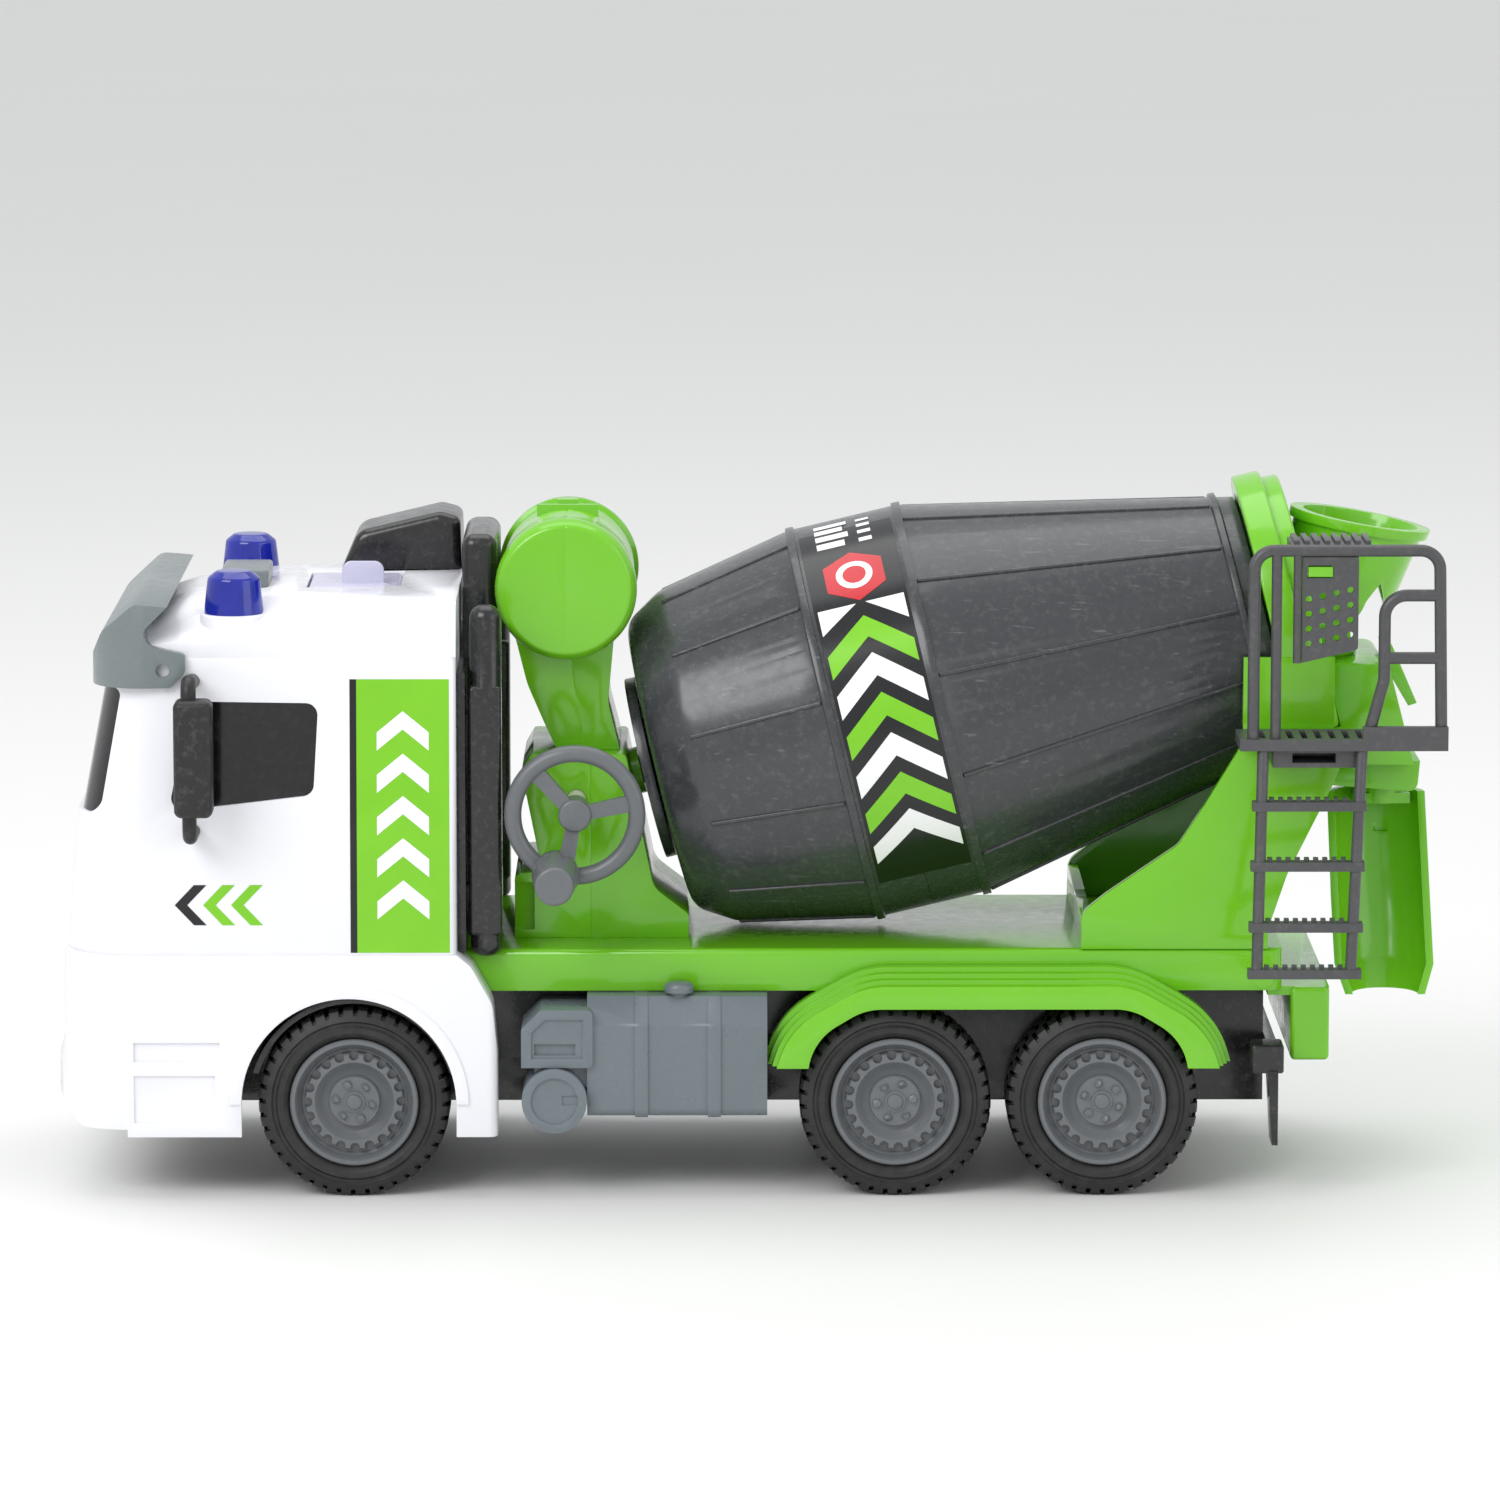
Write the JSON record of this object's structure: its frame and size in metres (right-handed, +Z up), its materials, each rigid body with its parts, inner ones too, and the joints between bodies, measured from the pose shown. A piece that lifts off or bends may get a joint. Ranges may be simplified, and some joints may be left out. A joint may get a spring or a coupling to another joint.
{
  "type": "toy cement mixer truck",
  "caption": "Toy cement mixer truck: white cab, green deck, dark drum turned by a side handwheel through bevel gears, rear hopper, swinging chute, ladder platform.",
  "frame": {"origin": "on the ground, in the middle of the truck's length and width", "axes": "+X towards the chute at the rear, +Y towards the truck's right side, +Z up"},
  "size_m": [0.29, 0.116, 0.1472],
  "materials": {
    "green_plastic": "gloss",
    "white_plastic": "gloss",
    "drum_grey_plastic": "gloss",
    "tank_grey_plastic": "satin",
    "hub_grey_plastic": "satin",
    "rail_grey_plastic": "satin",
    "black_plastic": "gloss",
    "soft_black_plastic": "satin",
    "visor_grey_plastic": "satin",
    "window_black_plastic": "gloss",
    "blue_lens_plastic": "gloss",
    "clear_led_plastic": "gloss",
    "button_plastic": "satin",
    "tyre_rubber": "matte",
    "axle_steel": "brushed",
    "circuit_board_laminate": "satin"
  },
  "bodies": {
    "chassis": {"access_ladder": "rail_grey_plastic", "battery_door": "black_plastic", "beacon_leds": "clear_led_plastic", "beacon_lens_left": "blue_lens_plastic", "beacon_lens_right": "blue_lens_plastic", "cab_lower": "white_plastic", "cab_rack": "black_plastic", "cab_roof": "white_plastic", "cab_upper": "white_plastic", "chassis_frame": "black_plastic", "chassis_screws": "axle_steel", "chute_bracket": "green_plastic", "circuit_board": "circuit_board_laminate", "deck": "green_plastic", "discharge_hood": "green_plastic", "exhaust_left": "black_plastic", "exhaust_right": "black_plastic", "fuel_tank_left": "tank_grey_plastic", "fuel_tank_right": "tank_grey_plastic", "grille": "black_plastic", "guard_rail": "rail_grey_plastic", "hopper": "green_plastic", "mirror_left": "soft_black_plastic", "mirror_right": "soft_black_plastic", "mouth_ring": "green_plastic", "platform_floor": "rail_grey_plastic", "rear_fender_left": "green_plastic", "rear_fender_right": "green_plastic", "rear_stand_left": "green_plastic", "rear_stand_right": "green_plastic", "roof_box": "visor_grey_plastic", "roof_scoop": "black_plastic", "side_window_left": "window_black_plastic", "side_window_right": "window_black_plastic", "speaker": "black_plastic", "stand_front": "green_plastic", "stand_rear": "green_plastic", "step_panel": "rail_grey_plastic", "sun_visor": "visor_grey_plastic", "tail_light_bar": "black_plastic", "water_tank_front": "green_plastic", "water_tank_rear": "green_plastic", "windscreen": "window_black_plastic"},
    "front_axle": {"front_axle_pin": "axle_steel", "front_axle_hubs": "hub_grey_plastic", "front_axle_tyres": "tyre_rubber"},
    "mid_axle": {"mid_axle_pin": "axle_steel", "mid_axle_hubs": "hub_grey_plastic", "mid_axle_tyres": "tyre_rubber"},
    "rear_axle": {"rear_axle_pin": "axle_steel", "rear_axle_hubs": "hub_grey_plastic", "rear_axle_tyres": "tyre_rubber"},
    "drum": {"drum_front_shell": "drum_grey_plastic", "drum_rear_shell": "drum_grey_plastic", "drum_gear": "drum_grey_plastic"},
    "crank": {"handwheel": "hub_grey_plastic", "crank_shaft": "drum_grey_plastic"},
    "knob": {"handwheel_knob": "hub_grey_plastic"},
    "chute": {"chute": "green_plastic"},
    "button": {"sound_button": "button_plastic"}
  },
  "joints": [
    {"name": "front_axle_spin", "type": "hinge", "parent": "chassis", "child": "front_axle", "pos_m": [-0.0826, 0, 0.02], "axis": [0, 1, 0], "continuous": true},
    {"name": "mid_axle_spin", "type": "hinge", "parent": "chassis", "child": "mid_axle", "pos_m": [0.0303, 0, 0.02], "axis": [0, 1, 0], "continuous": true},
    {"name": "rear_axle_spin", "type": "hinge", "parent": "chassis", "child": "rear_axle", "pos_m": [0.0735, 0, 0.02], "axis": [0, 1, 0], "continuous": true},
    {"name": "drum_spin", "type": "hinge", "parent": "chassis", "child": "drum", "pos_m": [0.0175, 0, 0.0933], "axis": [0.9724, 0, 0.2334], "continuous": true},
    {"name": "crank_spin", "type": "hinge", "parent": "chassis", "child": "crank", "pos_m": [-0.0364, 0, 0.08036], "axis": [0, -1, 0], "continuous": true},
    {"name": "knob_spin", "type": "hinge", "parent": "crank", "child": "knob", "pos_m": [-0.04039, -0.05, 0.06809], "axis": [0, -1, 0], "continuous": true},
    {"name": "chute_swing", "type": "hinge", "parent": "chassis", "child": "chute", "pos_m": [0.1345, 0, 0.08], "axis": [0, 0, 1], "range_deg": [0, 180]},
    {"name": "button_press", "type": "slide", "parent": "chassis", "child": "button", "axis": [0, 0, -1], "range_m": [0, 0.0015], "stiffness_N_per_m": 300, "springref_m": -0.001}
  ],
  "couplings": [
    {"joint": "crank_spin", "follows": "drum_spin", "ratio": -1.5}
  ]
}
